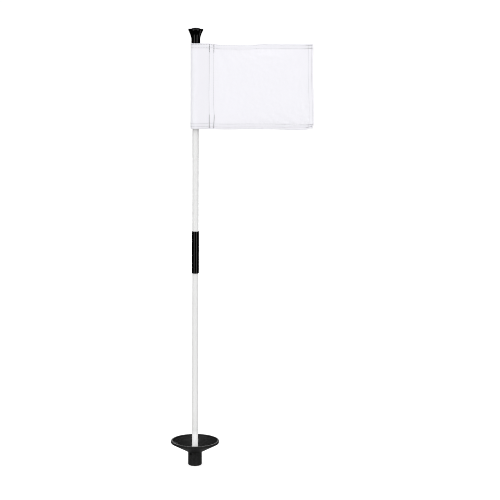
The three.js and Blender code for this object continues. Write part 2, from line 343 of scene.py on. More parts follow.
def fibreglass():
    """White pultruded fibreglass: fibres along the rod show as faint streaks and ridges, and
    the foot down in the dish is painted whiter, a painted light against the dish's shade."""
    material, tree, shader, place = principled("white_fibreglass", grey(0.75), 0.34)
    fibres = noise(tree, place, 0.5 * MM, 4, (1, 1, 120))
    bands = noise(tree, place, 5 * MM, 2, (1, 1, 14))
    base = mixed(tree, bands, grey(0.735, -0.004), grey(0.775))
    color = mixed(tree, between(tree, fibres, -0.3, 0.5), base, grey(0.67))
    height = node(tree, "SeparateXYZ", {0: place}).outputs["Z"]
    # The foot in the dish is painted whiter: a painted light where the dish shades the rod.
    foot_painted_light = between(tree, height, 0.0, 1.0, 76 * MM, 63 * MM)
    feed(tree, shader, {
        "Base Color": mixed(tree, foot_painted_light, color, grey(0.96)),
        "Roughness": between(tree, fibres, 0.26, 0.46),
        "Normal": bump(tree, fibres, 0.03 * MM, 0.35),
        "Specular IOR Level": 0.35,
    })
    return material


def moulded(name, color, size, rough):
    """A pale moulded plastic with a soft grain."""
    material, tree, shader, place = principled(name, color, rough)
    grain = noise(tree, place, size, 3)
    darker = tuple(0.94 * c for c in color[:3]) + (1,)
    feed(tree, shader, {
        "Base Color": mixed(tree, grain, darker, color),
        "Roughness": between(tree, grain, rough - 0.08, rough + 0.1),
        "Normal": bump(tree, grain, 0.02 * MM, 0.4),
    })
    return material


def machined(name, color, dark, rough):
    """A turned metal: fine rings across the axis, and darker stains."""
    material, tree, shader, place = principled(name, color, rough)
    rings = noise(tree, place, 0.2 * MM, 2, (60, 60, 1))
    stains = noise(tree, place, 2.5 * MM, 4)
    feed(tree, shader, {
        "Base Color": mixed(tree, between(tree, stains, -0.4, 0.9), color, dark),
        "Roughness": between(tree, stains, rough - 0.08, rough + 0.16),
        "Normal": bump(tree, rings, 0.01 * MM, 0.5),
        "Metallic": 1.0,
    })
    return material


def weave(tree, pitch):
    """The height of a plain weave of that pitch, in the cloth's own flat coordinates."""
    flat = node(tree, "UVMap", uv_map="flat").outputs[0]
    across = node(tree, "SeparateXYZ", {0: flat})
    u = maths(tree, "SINE", maths(tree, "MULTIPLY", across.outputs[0], math.pi / pitch))
    v = maths(tree, "SINE", maths(tree, "MULTIPLY", across.outputs[1], math.pi / pitch))
    over = maths(tree, "GREATER_THAN", maths(tree, "MULTIPLY", u, v), 0.0)
    u, v = maths(tree, "ABSOLUTE", u), maths(tree, "ABSOLUTE", v)
    warp = maths(tree, "MULTIPLY", u, maths(tree, "POWER", v, 0.35))
    weft = maths(tree, "MULTIPLY", v, maths(tree, "POWER", u, 0.35))
    warp = maths(tree, "MULTIPLY", warp, over)
    weft = maths(tree, "MULTIPLY", weft, maths(tree, "SUBTRACT", 1.0, over))
    return maths(tree, "ADD", warp, weft), flat


def flag_nylon():
    """White flag nylon: plain weave, uneven yarns, light coming through from behind, and painted
    shade in the weave's gaps and on the hems.
    """
    material, tree, shader, _ = principled("white_flag_nylon", (0.9, 0.893, 0.93, 1), 0.62)
    yarn, flat = weave(tree, 0.3 * MM)
    slubs_across = noise(tree, flat, 0.5 * MM, 2, (60, 1, 1))
    slubs_along = noise(tree, flat, 0.5 * MM, 2, (1, 60, 1))
    slubs = maths(tree, "MULTIPLY", slubs_across, slubs_along)
    bright, dull = (0.925, 0.918, 0.955, 1), (0.865, 0.858, 0.9, 1)
    yarn_gap_shade, hem = (0.78, 0.775, 0.83, 1), (0.74, 0.735, 0.775, 1)
    color = mixed(tree, between(tree, slubs, 0.25, 1.1), dull, bright)
    # The gaps between the yarns are painted darker as shade.
    color = mixed(tree, between(tree, yarn, 0.35, 0.0), color, yarn_gap_shade)
    # The hem bands are painted darker: a painted shade for the extra layers that let less light
    # through from behind.
    folded = node(tree, "Attribute", attribute_name="folded").outputs["Fac"]
    color = mixed(tree, maths(tree, "MULTIPLY", folded, 0.2), color, hem)
    normal = bump(tree, yarn, 0.06 * MM, 0.6)
    feed(tree, shader, {
        "Base Color": color,
        "Normal": normal,
        "Sheen Weight": 0.15,
        "Sheen Roughness": 0.4,
        "Specular IOR Level": 0.3,
    })
    through = node(tree, "BsdfTranslucent", {"Color": color, "Normal": normal})
    both = node(tree, "MixShader", {0: 0.085, 1: shader.outputs[0], 2: through.outputs[0]})
    feed(tree, tree.nodes["Material Output"], {"Surface": both.outputs[0]})
    return material


def sewing_thread():
    """A twisted polyester thread, white, painted grey as shade: darkest along the seam and towards
    the fly end, lighter in patches elsewhere.
    """
    material, tree, shader, place = principled("sewing_thread", (0.22, 0.217, 0.24, 1), 0.55)
    twist = noise(tree, place, 0.12 * MM, 2)
    # Both thread colours are painted shade: the white thread is greyed where it sits in the cloth's
    # grooves.
    deepest_thread_shade = mixed(tree, twist, (0.17, 0.168, 0.19, 1), (0.28, 0.276, 0.3, 1))
    lightest_thread_shade = mixed(tree, twist, (0.5, 0.495, 0.53, 1), (0.66, 0.655, 0.69, 1))
    along = node(tree, "SeparateXYZ", {0: place}).outputs["X"]
    # The seam's rows take the darkest painted shade, and the rows at the fly end more of it.
    past_seam = between(tree, along, 0.0, 1.0, SEAM_END, SEAM_END + 8 * MM)
    at_fly = between(tree, along, 1.0, 0.5, FLY_END - 16 * MM, FLY_END - 12 * MM)
    patches = between(tree, noise(tree, place, 26 * MM, 1), -1.6, 3.4)
    share = maths(tree, "MINIMUM", maths(tree, "MAXIMUM", patches, 0.25), 1.0)
    share = maths(tree, "MULTIPLY", share, maths(tree, "MULTIPLY", past_seam, at_fly))
    feed(tree, shader, {
        "Base Color": mixed(tree, share, deepest_thread_shade, lightest_thread_shade),
        "Normal": bump(tree, twist, 0.05 * MM, 0.8),
        "Sheen Weight": 0.2,
    })
    return material


# ---------------------------------------- hard pieces


def radius_of(name):
    """The largest radius of a CAD node about the Z axis."""
    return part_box(name)[1].x


def make_dish(material):
    """The dish and its stem, with every edge rounded and the screw's hole countersunk."""
    low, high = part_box("base_dish")
    rim, top = high.x, high.z
    stem, stem_top, band, wall = 14.5 * MM, 28.2 * MM, 4.6 * MM, 3.2 * MM
    bore = radius_of("lower_rod") + 0.25 * MM
    slope = (top - band - stem_top) / (rim - stem)
    rise = wall * math.hypot(1, slope)
    inner = rim - wall
    floor = 9.5 * MM

    def inside(radius):
        return stem_top + rise + (radius - stem) * slope

    corners = [
        (0, low.z, 0),
        (stem - 1.4 * MM, low.z, 0.4 * MM),
        (stem, low.z + 1.4 * MM, 0.5 * MM),
        (stem, stem_top, 1.8 * MM),
        (rim, top - band, 0.7 * MM),
        (rim, top, 1.1 * MM),
        (inner, top, 1.0 * MM),
        (inner, inside(inner), 1.2 * MM),
        (floor, inside(floor), 1.5 * MM),
        (bore + 0.5 * MM, inside(floor), 0.2 * MM),
        (bore, inside(floor) - 0.5 * MM, 0.1 * MM),
        (bore, 5.7 * MM, 0),
        (0, 5.7 * MM, 0),
    ]
    dish = turned("ball_dish", corners, closed=False, steps=192)
    screw = screw_axis()
    hole = plug("hole", 0, 12 * MM, 2.3 * MM)
    hole.data.transform(screw @ Matrix.Translation((0, 0, 6.4 * MM)))
    sink = plug("sink", 0, 0.9 * MM, 2.2 * MM, 3 * MM)
    sink.data.transform(screw @ Matrix.Translation((0, 0, stem - 0.55 * MM)))
    cut(dish, [hole, sink])
    return finished(dish, "lower_section", "base_plastic", material, "base_dish")


def screw_axis():
    """Turns +Z onto the grub screw's axis, through the middle of its CAD node."""
    low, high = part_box("base_grub_screw")
    middle = (low + high) / 2
    outward = Vector((middle.x, middle.y, 0)).normalized()
    turn = outward.to_track_quat("Z", "Y").to_matrix().to_4x4()
    return Matrix.Translation((0, 0, middle.z)) @ turn


def make_grub_screw(material):
    """A set screw with a cup point and a hexagon socket."""
    radius = 2 * MM
    corners = [
        (0, 7.3 * MM, 0), (0.8 * MM, 7.3 * MM, 0), (1.2 * MM, 6.7 * MM, 0.1 * MM),
        (radius, 7.4 * MM, 0.1 * MM), (radius, 12.9 * MM, 0.1 * MM),
        (radius - 0.35 * MM, 13.2 * MM, 0.1 * MM), (0, 13.2 * MM, 0),
    ]
    screw = turned("set_screw", corners, closed=False, steps=64)
    socket = plug("socket", 11 * MM, 14 * MM, 1.16 * MM, sides=6)
    cut(screw, [socket])
    screw.data.transform(screw_axis())
    return finished(screw, "lower_section", "grub_steel", material, "base_grub_screw")


def make_rod(name, node_name, body, material, holds_insert=False):
    """A length of rod with its cut ends eased, and a hole in its top for the insert."""
    low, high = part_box(node_name)
    radius = high.x
    ease = 0.35 * MM
    corners = [(0, low.z, 0), (radius, low.z, ease)]
    steps = 12
    for i in range(1, steps):
        corners.append((radius, low.z + (high.z - low.z) * i / steps, 0))
    corners.append((radius, high.z, ease))
    if holds_insert:
        insert_low, insert_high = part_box("rod_top_insert")
        hole, floor = insert_high.x + GAP, insert_low.z - GAP
        corners += [(hole, high.z, 0.2 * MM), (hole, floor, 0), (0, floor, 0)]
    else:
        corners.append((0, high.z, 0))
    rod = turned(name, corners, closed=False)
    return finished(rod, body, "fibreglass_white", material, node_name)


def make_ferrule(material):
    """The joint sleeve, with rolled ends and the web that both rods stop on."""
    low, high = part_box("joint_ferrule")
    outer = high.x
    bore = radius_of("lower_rod") + GAP
    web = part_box("lower_rod")[1].z + GAP
    web_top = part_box("upper_rod")[0].z - GAP
    corners = [
        (bore, low.z, 0.25 * MM),
        (outer, low.z, 0.45 * MM),
        (outer, low.z + 6 * MM, 0),
        (outer, high.z - 6 * MM, 0),
        (outer, high.z, 0.45 * MM),
        (bore, high.z, 0.25 * MM),
        (bore, web_top, 0.1 * MM),
        (2.5 * MM, web_top, 0.3 * MM),
        (2.5 * MM, web, 0.3 * MM),
        (bore, web, 0.1 * MM),
    ]
    ferrule = turned("joint_sleeve", corners, steps=128)
    return finished(ferrule, "lower_section", "black_gloss", material, "joint_ferrule")


def make_insert(material):
    """The threaded insert in the rod's end, with two grooves for the glue."""
    low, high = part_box("rod_top_insert")
    bore, outer, waist = 3.2 * MM, high.x, high.x - 0.3 * MM
    corners = [(bore, low.z, 0.15 * MM), (outer, low.z, 0.15 * MM)]
    for groove in (0.3, 0.62):
        start = low.z + (high.z - low.z) * groove
        end = start + 1.4 * MM
        corners += [(outer, start, 0), (waist, start + 0.2 * MM, 0)]
        corners += [(waist, end - 0.2 * MM, 0), (outer, end, 0)]
    corners += [(outer, high.z, 0.15 * MM), (bore, high.z, 0.15 * MM)]
    insert = turned("threaded_insert", corners, steps=64)
    insert.data.set_sharp_from_angle(angle=math.radians(35))
    return finished(insert, "upper_section", "insert_brass", material, "rod_top_insert")


def make_tube(material):
    low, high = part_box("flag_tube")
    tube = sleeve("swivel_tube", high.x - 1.1 * MM, high.x, low.z, high.z, 0.2 * MM)
    return finished(tube, "flag", "tube_white", material, "flag_tube")


def make_bushings(material):
    """The flanged bushes in the two ends of the tube. The upper one has a web."""
    rod = radius_of("upper_rod")
    inner, outer = rod + 0.4 * MM, radius_of("flag_tube") - 1.4 * MM
    flange = 1.4 * MM
    ease = 0.25 * MM
    low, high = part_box("tube_bottom_bushing")
    corners = [
        (inner, low.z, 0.5 * MM), (high.x, low.z, ease), (high.x, low.z + flange, ease),
        (outer, low.z + flange, 0.1 * MM), (outer, high.z, 0.4 * MM), (inner, high.z, ease),
    ]
    bottom = turned("lower_bush", corners)
    finished(bottom, "flag", "bushing_nylon", material, "tube_bottom_bushing")
    low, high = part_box("tube_top_bushing")
    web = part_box("upper_rod")[1].z + GAP
    bolt = 3.2 * MM
    corners = [
        (inner, low.z, ease), (outer, low.z, 0.4 * MM), (outer, high.z - flange, 0.1 * MM),
        (high.x, high.z - flange, ease), (high.x, high.z, 0.35 * MM), (bolt, high.z, ease),
        (bolt, web, 0.1 * MM), (inner, web, 0.1 * MM),
    ]
    top = turned("upper_bush", corners)
    finished(top, "flag", "bushing_nylon", material, "tube_top_bushing")


def make_knob(material):
    """The flared finial: a straight neck that opens into a wide, flat-topped rim."""
    low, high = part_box("finial_knob")
    neck, rim = 8.95 * MM, high.x
    shank = 3.2 * MM
    flare_start = Vector((neck, low.z + 7.8 * MM))
    pull = Vector((neck + 0.25 * MM, low.z + 14.3 * MM))
    flare_end = Vector((rim, high.z - 2.5 * MM))
    corners = [(shank, low.z, 0.2 * MM), (neck, low.z, 0.5 * MM), (neck, low.z + 4 * MM, 0)]
    steps = 18
    for i in range(steps):
        t = i / steps
        at = flare_start * (1 - t) ** 2 + pull * (2 * t * (1 - t)) + flare_end * t * t
        corners.append((at.x, at.y, 0))
    cap = radius_of("finial_cap") + 0.25 * MM
    cap_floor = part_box("finial_cap")[0].z - GAP
    seat, seat_radius = BOLT_HEAD_BOTTOM - GAP, 6.4 * MM
    corners += [
        (rim, flare_end.y, 0.5 * MM), (rim, high.z, 0.7 * MM),
        (cap + 2.2 * MM, high.z - 0.25 * MM, 1 * MM), (cap, high.z, 0.3 * MM),
        (cap, cap_floor, 0.1 * MM), (seat_radius, cap_floor, 0.1 * MM),
        (seat_radius, seat, 0.1 * MM), (shank, seat, 0.1 * MM),
    ]
    knob = turned("finial_flare", corners, steps=160)
    return finished(knob, "finial", "black_gloss", material, "finial_knob")


def make_cap(material):
    """The plug over the bolt's head, with a shallow dome."""
    low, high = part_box("finial_cap")
    radius = high.x
    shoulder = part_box("finial_knob")[1].z + 1 * MM
    rise = high.z - shoulder
    dome = (radius * radius + rise * rise) / (2 * rise)
    bevel = 0.3 * MM
    corners = [(0, low.z, 0), (radius - bevel, low.z, 0.2 * MM), (radius, low.z + bevel, 0.1 * MM)]
    steps = 10
    widest = math.asin(radius / dome)
    for i in range(steps + 1):
        angle = widest * (1 - i / steps)
        rounding = 0.45 * MM if i == 0 else 0
        corners.append((dome * math.sin(angle), high.z - dome * (1 - math.cos(angle)), rounding))
    cap = turned("finial_plug", corners, closed=False, steps=128)
    return finished(cap, "finial", "black_gloss", material, "finial_cap")


def make_bolt(material):
    """The finial's bolt: a metric thread up to the knob, and a hexagon head."""
    low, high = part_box("finial_bolt")
    outer, depth, pitch = 2.9 * MM, 0.54 * MM, 1 * MM
    columns, rows = 32, 304
    points, faces = [], []
    for row in range(rows + 1):
        z = low.z + (BOLT_HEAD_BOTTOM - low.z) * row / rows
        tip = smooth((z - low.z) / (0.8 * MM))
        for column in range(columns):
            turn = column / columns
            groove = abs((z / pitch - turn) % 1 - 0.5) * 2
            radius = (outer - depth * smooth(1.25 * groove - 0.1)) * (0.82 + 0.18 * tip)
            angle = turn * FULL_TURN
            points.append((radius * math.cos(angle), radius * math.sin(angle), z))
    for row in range(rows):
        for column in range(columns):
            a, b = row * columns + column, row * columns + (column + 1) % columns
            faces.append((a, b, b + columns, a + columns))
    faces.append(tuple(range(columns))[::-1])
    faces.append(tuple(rows * columns + c for c in range(columns)))
    shank = mesh_object("finial_stud", points, faces)
    head = plug("head", BOLT_HEAD_BOTTOM, high.z, 10 * MM / math.sqrt(3), sides=6)
    with_head = bmesh.new()
    with_head.from_mesh(shank.data)
    with_head.from_mesh(head.data)
    with_head.to_mesh(shank.data)
    with_head.free()
    bpy.data.objects.remove(head)
    shank.data.set_sharp_from_angle(angle=math.radians(40))
    return finished(shank, "finial", "bolt_steel", material, "finial_bolt")


def make_washer(material):
    low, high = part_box("finial_washer")
    washer = sleeve("plain_washer", 3.2 * MM, high.x, low.z, high.z, 0.18 * MM)
    return finished(washer, "finial_seat", "bolt_steel", material, "finial_washer")


# ---------------------------------------- the flag's cloth

FLAG_LOW, FLAG_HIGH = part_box("flag_cloth")
FLAG_HEIGHT = FLAG_HIGH.z - FLAG_LOW.z
FLY_END = FLAG_HIGH.x
GRID = 1.25 * MM
WAVE_DEPTH = 2.5 * MM
WAVE_COUNT = 1.15


def wave(x):
    """The slow wave along the flag."""
    along = np.clip((x - SEAM_END) / (FLY_END - SEAM_END), 0, None)
    return WAVE_DEPTH * along * np.sin(FULL_TURN * WAVE_COUNT * along)


def plan_line():
    """The cloth's line in plan, evenly spaced: from the cut edge behind the seam, round the
    tube, through the seam and out along the panel to the fly end."""
    radius = radius_of("flag_tube") + 1.3 * MM
    front = -0.45 * MM
    back = front + PLY
    taper = math.asin(radius / SEAM_ROWS[0])
    step = 0.25 * MM
    turn = np.linspace(math.pi / 2 - taper, FULL_TURN - math.pi / 2 + taper, 240)
    around = np.stack([radius * np.cos(turn), radius * np.sin(turn)], 1)
    corners = [
        np.array([[SEAM_END, back], [SEAM_ROWS[0], back]]),
        around,
        np.array([[SEAM_ROWS[0], front], [FLY_END - 6 * PLY, front]]),
    ]
    line = np.concatenate(corners)
    line = evenly(line, step)
    blur, taps = 0.8 * MM, 12
    kernel = np.exp(-0.5 * (np.arange(-taps, taps + 1) * step / blur) ** 2)
    kernel /= kernel.sum()
    padded = np.pad(line, ((taps, taps), (0, 0)), mode="reflect", reflect_type="odd")
    line = np.stack([np.convolve(padded[:, k], kernel, "valid") for k in range(2)], 1)
    past_seam = (np.arange(len(line)) > len(line) // 4) & (line[:, 0] > SEAM_END)
    line[past_seam, 1] += wave(line[past_seam, 0])
    return evenly(line, GRID)


def evenly(line, step):
    """The same line with its points about step apart."""
    along = np.concatenate([[0], np.cumsum(np.linalg.norm(np.diff(line, axis=0), axis=1))])
    wanted = np.linspace(0, along[-1], round(along[-1] / step) + 1)
    return np.stack([np.interp(wanted, along, line[:, k]) for k in range(line.shape[1])], 1)


def hump(x, start, end):
    """A smooth rise and fall between start and end."""
    t = np.clip((x - start) / (end - start), 0, 1)
    return np.sin(math.pi * t) ** 2


def hung_out(x, z):
    """How far the cloth's edges bow: the top dips past the seam, the foot sags and turns up at
    its corner, and the fly end bellies out low down. Returns the moves along X and Z."""
    up = (z - FLAG_LOW.z) / FLAG_HEIGHT
    top = -TOP_DIP * (ramp(x, 28 * MM, 26 * MM) - ramp(x, 104 * MM, 34 * MM))
    foot = -FOOT_DROP * ramp(x, 20 * MM, 40 * MM) - FOOT_SAG * hump(x, 15 * MM, 110 * MM)
    foot = foot - FLY_SAG * ramp(x, 150 * MM, 60 * MM)
    corner = CORNER_LIFT * ramp(x, FLY_END - 18 * MM, 12 * MM) * (1 - ramp(z, FLAG_LOW.z, 14 * MM))
    belly = ramp(up, -0.03, 0.12) * (1 - ramp(up, 0.18, 0.56))
    out = FLY_BELLY * belly * ramp(x, 150 * MM, 90 * MM)
    return out, top * smooth(up) + foot * (1 - smooth(up)) + corner


def base_surface():
    """The cloth before its folds and stitches, as a grid of points: along the line, up."""
    line = plan_line()
    levels = np.linspace(FLAG_LOW.z, FLAG_HIGH.z, round(FLAG_HEIGHT / (2 * GRID)) + 1)
    x = np.repeat(line[:, :1], len(levels), 1)
    y = np.repeat(line[:, 1:], len(levels), 1)
    z = np.repeat(levels[None], len(line), 0)
    along, drop = hung_out(x, z)
    return np.stack([x + along, y, z + drop], 2), line


def settle(points):
    """Simulates the panel: held by its seam and its fly hem, it hangs and draws up a little
    where the hems are sewn tight. Returns how far each point moves."""
    enlarged = 10
    columns, rows = points.shape[:2]
    index = np.arange(columns * rows).reshape(columns, rows)
    trial = grid_object("flag_trial", points * enlarged)
    held = trial.vertex_groups.new(name="held")
    held.add(index[:2].ravel().tolist(), 1.0, "REPLACE")
    held.add(index[-4:].ravel().tolist(), 1.0, "REPLACE")
    tight = trial.vertex_groups.new(name="tight")
    hem_rows = round(HEAD_HEM / (2 * GRID))
    tight.add(index[:, :hem_rows].ravel().tolist(), 1.0, "REPLACE")
    tight.add(index[:, -hem_rows:].ravel().tolist(), 1.0, "REPLACE")
    cloth = trial.modifiers.new("cloth", "CLOTH")
    settings = cloth.settings
    settings.quality = 6
    settings.mass = 0.02
    settings.tension_stiffness = 60
    settings.compression_stiffness = 60
    settings.shear_stiffness = 30
    settings.bending_stiffness = 0.4
    settings.air_damping = 2.0
    settings.vertex_group_mass = "held"
    settings.vertex_group_shrink = "tight"
    settings.shrink_max = 0.0015
    settings.effector_weights.gravity = 0.12
    scene = bpy.context.scene
    last_frame = 40
    cloth.point_cache.frame_end = last_frame
    for moment in range(1, last_frame + 1):
        scene.frame_set(moment)
    shape = trial.evaluated_get(bpy.context.evaluated_depsgraph_get())
    moved = np.zeros(columns * rows * 3)
    shape.data.vertices.foreach_get("co", moved)
    bpy.data.objects.remove(trial)
    scene.frame_set(1)
    return moved.reshape(columns, rows, 3) / enlarged - points


def curve_taps(t):
    """The four weights of a smooth curve at a share t of the way between two points."""
    return (
        -0.5 * t + t**2 - 0.5 * t**3,
        1 - 2.5 * t**2 + 1.5 * t**3,
        0.5 * t + 2 * t**2 - 1.5 * t**3,
        -0.5 * t**2 + 0.5 * t**3,
    )


def read_grid(grid, u, v):
    """Reads a smooth surface through a grid of points, at fractional rows u and columns v."""
    wider = np.pad(grid, ((1, 2), (1, 2), (0, 0)), mode="reflect", reflect_type="odd")
    row = np.clip(np.floor(u).astype(int), 0, grid.shape[0] - 2)
    column = np.clip(np.floor(v).astype(int), 0, grid.shape[1] - 2)
    total = 0
    for i, across in enumerate(curve_taps(u - row)):
        for j, up in enumerate(curve_taps(v - column)):
            total = total + (across * up)[..., None] * wider[row + i, column + j]
    return total


def unit(vectors):
    return vectors / np.linalg.norm(vectors, axis=-1, keepdims=True)


class Cloth:
    """The flag's middle surface, read at any distance s along the cloth and any height z."""

    def __init__(self):
        self.grid, line = base_surface()
        steps = np.linalg.norm(np.diff(line, axis=0), axis=1)
        self.step = steps.mean()
        self.length = self.step * len(steps)
        self.along = np.arange(len(line)) * self.step
        self.x = line[:, 0]
        self.turn = int(np.argmin(self.x))
        self.phases = rng.uniform(0, FULL_TURN, (5, 3))
        first = int(np.searchsorted(self.x[self.turn:], SEAM_END)) + self.turn
        moves = settle(self.grid[first::2])
        rows, columns = np.indices(self.grid[first:].shape[:2])
        self.grid[first:] += read_grid(moves, rows / 2, columns.astype(float))

    def s_at(self, x, in_front=True):
        """The distance along the cloth at which it passes x, before the tube or behind it."""
        if in_front:
            return float(np.interp(x, self.x[self.turn:], self.along[self.turn:]))
        return float(np.interp(-x, -self.x[:self.turn + 1], self.along[:self.turn + 1]))

    def from_turn(self, s):
        """The distance from the sleeve's outer edge, and which side: 1 in front, -1 behind."""
        run = s - self.along[self.turn]
        return np.abs(run), 2 * smooth(run / (24 * MM) + 0.5) - 1

    def ripple(self, t, which):
        """An uneven ripple along a row of stitches."""
        lengths = (7.3 * MM, 10.1 * MM, 15.7 * MM)
        waves = zip(lengths, self.phases[which])
        return sum(np.sin(FULL_TURN * t / length + phase) for length, phase in waves) / 3

    def pucker(self, s, z):
        """How far the sewing draws the cloth out of its plane, beside each row of stitches."""
        run, side = self.from_turn(s)
        fly = self.length - FLY_ROWS[1] - self.along[self.turn]
        seam = self.s_at(SEAM_ROWS[0]) - self.along[self.turn]
        seam_rows = (seam, seam + SEAM_ROWS[1] - SEAM_ROWS[0])
        from_foot, from_head = z - FLAG_LOW.z, FLAG_HIGH.z - z
        ends = 1 + 1.5 * (np.exp(-from_foot / PUCKER_ENDS) + np.exp(-from_head / PUCKER_ENDS))
        total = 0
        for which, place in enumerate((*seam_rows, fly)):
            total = total + ends * np.exp(-np.abs(run - place) / PUCKER_REACH) * self.ripple(z, which)
        for which, place in ((3, FLAG_LOW.z + FOOT_ROWS[1]), (4, FLAG_HIGH.z - HEAD_ROWS[1])):
            total = total + np.exp(-np.abs(z - place) / PUCKER_REACH) * self.ripple(run, which)
        return PUCKER * side * total

    def stand_off(self, s, z):
        """How far the back of the sleeve stands off at the seam, for the hems in between."""
        before_turn = self.along[self.turn] - s
        apart = smooth(before_turn / (18 * MM) - 1.2)
        return 2 * PLY * hem_share(z) * apart

    def read(self, s, z):
        """Points, the two directions in the cloth, and the outward normals."""
        per_height = (self.grid.shape[1] - 1) / FLAG_HEIGHT
        small = 0.2 * MM
        u, v = s / self.step, (z - FLAG_LOW.z) * per_height
        point = read_grid(self.grid, u, v)
        along = unit(read_grid(self.grid, u + small / self.step, v) - point)
        upward = unit(read_grid(self.grid, u, v + small * per_height) - point)
        normal = unit(np.cross(along, upward))
        lift = self.pucker(s, z) + self.stand_off(s, z)
        return point + normal * lift[..., None], along, upward, normal


def seam_drift(row, z):
    """How far a seam row wanders along X: the first one back in the middle, the second one out
    near the foot."""
    drift, start, end = SEAM_DRIFTS[row]
    return drift * hump((z - FLAG_LOW.z) / FLAG_HEIGHT, start, end)


def hem_share(z):
    """1 inside the top and bottom hems, 0 between them."""
    beyond = np.minimum(z - FLAG_LOW.z - FOOT_HEM, FLAG_HIGH.z - HEAD_HEM - z)
    return 1 - smooth(beyond / (1.2 * MM))


def graded(start, end, marks):
    """Places from start to end, closer together near the marks."""
    coarse, fine = 2.3 * MM, 0.5 * MM
    places = [start]
    marks = np.array(marks)
    while places[-1] < end - fine / 2:
        distance = np.abs(marks - places[-1] - fine / 2).min()
        share = float(smooth(distance / (3 * MM) - 0.3))
        places.append(places[-1] + fine + (coarse - fine) * share)
    places[-1] = end
    return np.array(places)


def folded_height(t):
    """Where a flat height t lies once the top and bottom hems are folded: z, and the depth."""
    radius = PLY / 2
    arc = math.pi * radius
    z, depth = t.copy(), np.zeros_like(t)
    for end, sign in ((FLAG_LOW.z, -1), (FLAG_HIGH.z, 1)):
        past = sign * (t - end) + radius
        turning = (past > 0) & (past <= arc)
        angle = past[turning] / radius
        z[turning] = end - sign * radius * (1 - np.sin(angle))
        depth[turning] = -radius * (1 - np.cos(angle))
        beyond = past > arc
        z[beyond] = end - sign * (radius + past[beyond] - arc)
        depth[beyond] = -PLY
    return z, depth


def flat_heights():
    """The flat pattern's heights: the lower hem, its fold, the panel, and the upper hem."""
    low, high = FLAG_LOW.z, FLAG_HIGH.z
    fold = PLY / 2 * np.linspace(0, math.pi, 7)
    lower, upper = low + PLY / 2 - fold[::-1], high - PLY / 2 + fold
    marks = [low + row for row in FOOT_ROWS] + [high - row for row in HEAD_ROWS]
    panel = graded(lower[-1], upper[0], marks)
    foot_hem, head_hem = graded(0, FOOT_HEM, FOOT_ROWS), graded(0, HEAD_HEM, HEAD_ROWS)
    foot_hem, head_hem = lower[0] - foot_hem[::-1], upper[-1] + head_hem
    return np.concatenate([foot_hem, lower[1:-1], panel, upper[1:-1], head_hem])


def make_flag(cloth, material):
    """The whole flag as one folded sheet: sleeve, panel and hems. Also returns its flat size."""
    seam = [cloth.s_at(x) for x in SEAM_ROWS] + [cloth.s_at(x, False) for x in SEAM_ROWS]
    fly = [cloth.length - row for row in reversed(FLY_ROWS)]
    widest = 1.5 * PLY
    fold_start = cloth.length - widest
    t = flat_heights()
    z, depth = folded_height(t)

    # Along the cloth: the flat part, then round the fly fold, then back along the fly hem.
    flat_run = graded(0, fold_start, seam + fly)
    fold_angle = np.linspace(0, math.pi, 9)[1:]
    hem_run = graded(0, FLY_HEM, FLY_ROWS)[1:]
    s = np.concatenate([flat_run, np.full(len(fold_angle), fold_start), fold_start - hem_run])
    angle = np.concatenate([np.zeros(len(flat_run)), fold_angle, np.full(len(hem_run), math.pi)])
    s, z = np.meshgrid(s, z, indexing="ij")
    angle, depth = np.meshgrid(angle, depth, indexing="ij")
    point, along, _, normal = cloth.read(s, z)

    # Where the top and bottom hems lie inside it, the fly fold is three layers wide.
    radius = PLY / 2 * (1 + 2 * hem_share(z))
    reach = smooth((s - fold_start + widest) / widest) * (widest - radius)
    ahead = reach + (radius + depth) * np.sin(angle)
    behind = -radius + (radius + depth) * np.cos(angle)

    # Every row of stitches presses the layers together.
    drift = [seam_drift(row, z) for row in (0, 1)]
    drift += [-drift[0], -drift[1], 0, 0]
    rows = [np.abs(s - place - aside) for place, aside in zip(seam + fly, drift)]
    rows += [np.abs(z - FLAG_LOW.z - inset) for inset in FOOT_ROWS]
    rows += [np.abs(FLAG_HIGH.z - inset - z) for inset in HEAD_ROWS]
    pressed = np.exp(-((np.minimum.reduce(rows) / PRESS_WIDTH) ** 2))
    outer = np.where(depth < -PLY / 2, -1, 1) * np.cos(angle)
    behind = behind - PRESS_DEPTH * pressed * outer

    position = point + along * ahead[..., None] + normal * behind[..., None]
    flag = grid_object("flag_nylon_sheet", position)

    # The flat pattern's own coordinates, in metres, carry the weave.
    fold_end = fold_start + math.pi * widest
    s_flat = np.concatenate([flat_run, fold_start + fold_angle * widest, fold_end + hem_run])
    pattern = np.stack(np.meshgrid(s_flat, t, indexing="ij"), 2).reshape(-1, 2)
    corners = np.zeros(len(flag.data.loops), int)
    flag.data.loops.foreach_get("vertex_index", corners)
    flat = flag.data.uv_layers.new(name="flat")
    flat.data.foreach_set("uv", pattern[corners].ravel())

    # Marks the hem bands, which the nylon's material paints darker as shade.
    folded = flag.data.attributes.new("folded", "FLOAT", "POINT")
    folded.data.foreach_set("value", hem_share(z).ravel())

    thick = flag.modifiers.new("thickness", "SOLIDIFY")
    thick.thickness = CLOTH
    thick.offset = 0
    finished(flag, "flag", "flag_nylon", material, "flag_cloth")
    return flag, (s_flat[-1], t[-1] - t[0])


def grid_object(name, positions):
    """A mesh object from a grid of points."""
    rows, columns = positions.shape[:2]
    index = np.arange(rows * columns).reshape(rows, columns)
    faces = np.stack([index[:-1, :-1], index[1:, :-1], index[1:, 1:], index[:-1, 1:]], 2)
    return mesh_object(name, positions.reshape(-1, 3), faces.reshape(-1, 4))


# ---------------------------------------- the flag's stitches


